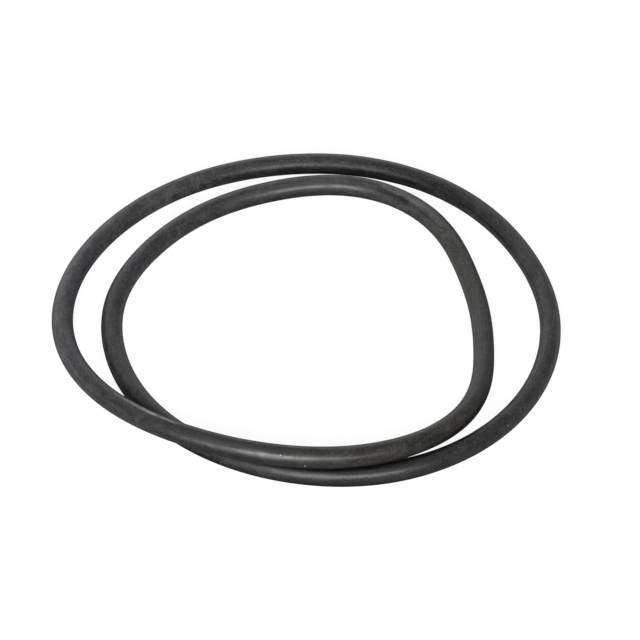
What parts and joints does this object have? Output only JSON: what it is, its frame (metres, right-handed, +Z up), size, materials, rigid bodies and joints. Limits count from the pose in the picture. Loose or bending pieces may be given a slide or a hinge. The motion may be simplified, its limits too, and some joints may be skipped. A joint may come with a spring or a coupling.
{
  "type": "o-ring",
  "caption": "Large black rubber o-ring of round section for sealing a flange, cover or cylinder, lying doubled on itself in loose turns that cross.",
  "frame": {"origin": "on the surface that the ring lies on, under the middle of its outline", "axes": "+Z up from that surface, +X along the ring's longer way across, +Y towards the side away from the crossing"},
  "size_m": [0.1704, 0.1662, 0.0143],
  "materials": {
    "nitrile_rubber": "dark charcoal moulded nitrile rubber, matt with a faint satin sheen"
  },
  "bodies": {
    "root": {"o_ring": "nitrile_rubber"}
  },
  "joints": []
}
